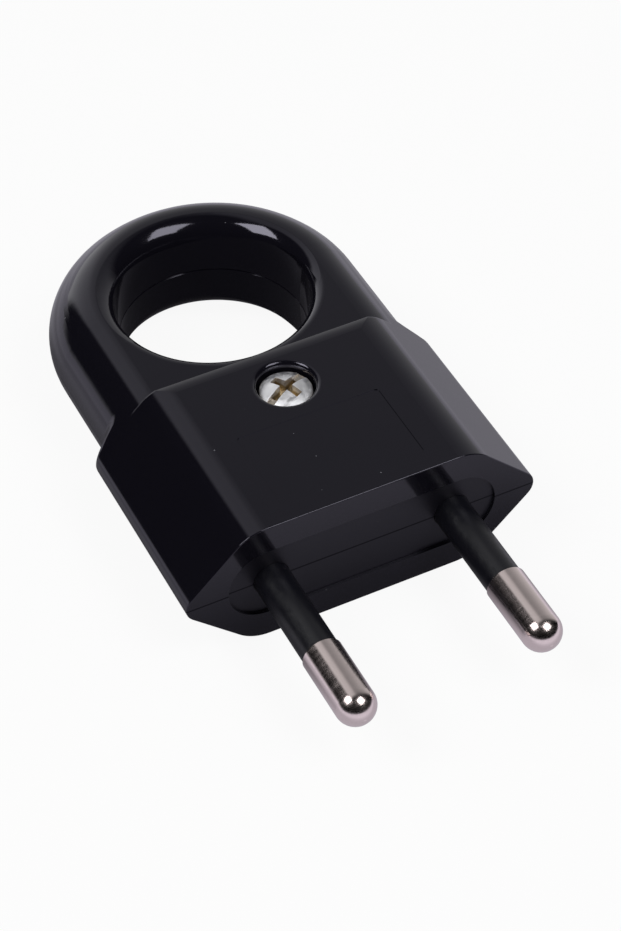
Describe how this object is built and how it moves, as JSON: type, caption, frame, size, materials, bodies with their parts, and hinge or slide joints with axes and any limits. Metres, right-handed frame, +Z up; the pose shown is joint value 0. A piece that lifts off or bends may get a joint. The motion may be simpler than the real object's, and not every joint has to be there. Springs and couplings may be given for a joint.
{
  "type": "flat electric plug",
  "caption": "Flat two-pin mains plug in two moulded shells with a finger ring, sleeved round pins, a housing screw and a cord outlet in the ring.",
  "frame": {"origin": "midway between the two pins, on the plane of the front rim that meets the socket, at the level of the joint between the shells", "axes": "-Y is the way the pins point, +Y runs back through the ring, +Z is up from the face on which the plug lies, and +X is the right-hand side with the pins towards the viewer"},
  "size_m": [0.0366, 0.0692, 0.0144],
  "materials": {
    "housing": "glossy moulded black",
    "sleeve": "satin moulded black",
    "contact": "nickel plated, bright",
    "fastener": "bright zinc plated"
  },
  "bodies": {
    "root": {"upper_shell": "housing", "lower_shell": "housing", "pin_sleeve_left": "sleeve", "pin_sleeve_right": "sleeve", "contact_pin_left": "contact", "contact_pin_right": "contact", "terminal_screws": "fastener", "housing_screw": "fastener", "housing_nut": "fastener"}
  },
  "joints": []
}
